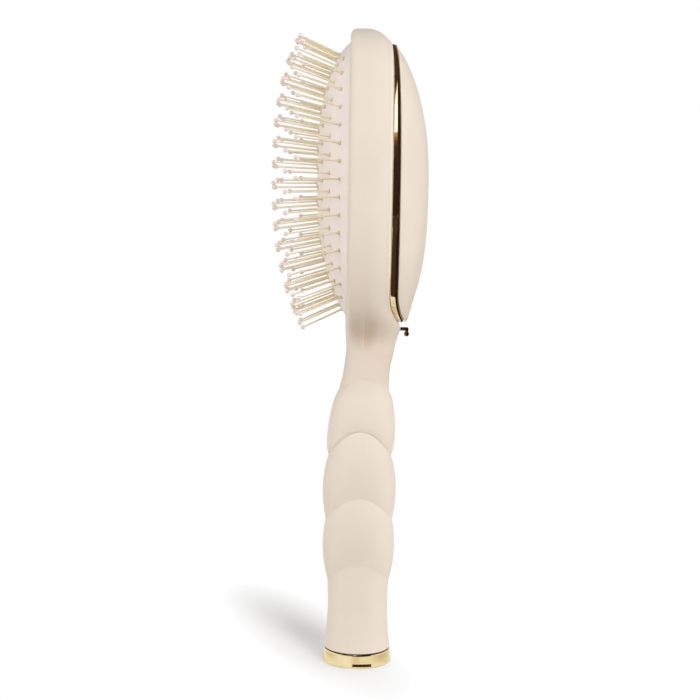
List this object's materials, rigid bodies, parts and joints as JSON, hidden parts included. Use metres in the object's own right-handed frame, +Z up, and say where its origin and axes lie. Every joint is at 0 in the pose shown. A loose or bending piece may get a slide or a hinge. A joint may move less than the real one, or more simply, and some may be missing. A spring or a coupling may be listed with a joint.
{
  "type": "detangling brush",
  "caption": "Oval air-cushion hair brush with ball-tipped pins, a domed back cover, a swelled hollow grip, a small wire hook and a metal foot ring that it stands on.",
  "frame": {"origin": "centre of the flat bottom of the foot, where the brush stands", "axes": "+Z up along the grip to the head, -X towards the pins, +X towards the back cover, Y across the head"},
  "size_m": [0.0592, 0.069, 0.24],
  "materials": {
    "soft_shell": "soft-touch matt cream",
    "gold_plate": "mirror gold plating",
    "gold_metal": "mirror gold plating",
    "gold_wire": "polished gold",
    "cushion_rubber": "satin rubber",
    "pin_nylon": "satin nylon",
    "inner_plastic": "plain moulded",
    "steel": "plain",
    "foot_felt": "felt"
  },
  "bodies": {
    "brush_body": {"front_shell": "soft_shell", "back_shell": "soft_shell", "back_cover": "soft_shell", "trim_band": "gold_plate", "cushion_frame": "inner_plastic", "pad_plate": "inner_plastic", "shell_screws": "steel", "shell_dowels": "steel", "hook": "gold_wire", "foot_ring": "gold_metal", "end_plug": "inner_plastic", "foot_pad": "foot_felt"},
    "pin_field": {"cushion": "cushion_rubber", "pin_row_1": "pin_nylon", "pin_row_2": "pin_nylon", "pin_row_3": "pin_nylon", "pin_row_4": "pin_nylon", "pin_row_5": "pin_nylon", "pin_row_6": "pin_nylon", "pin_row_7": "pin_nylon", "pin_row_8": "pin_nylon", "pin_row_9": "pin_nylon"}
  },
  "joints": [
    {"name": "cushion_press", "type": "slide", "parent": "brush_body", "child": "pin_field", "axis": [1, 0, 0], "range_m": [0, 0.003], "stiffness_N_per_m": 1600, "deforming": ["cushion"]}
  ]
}
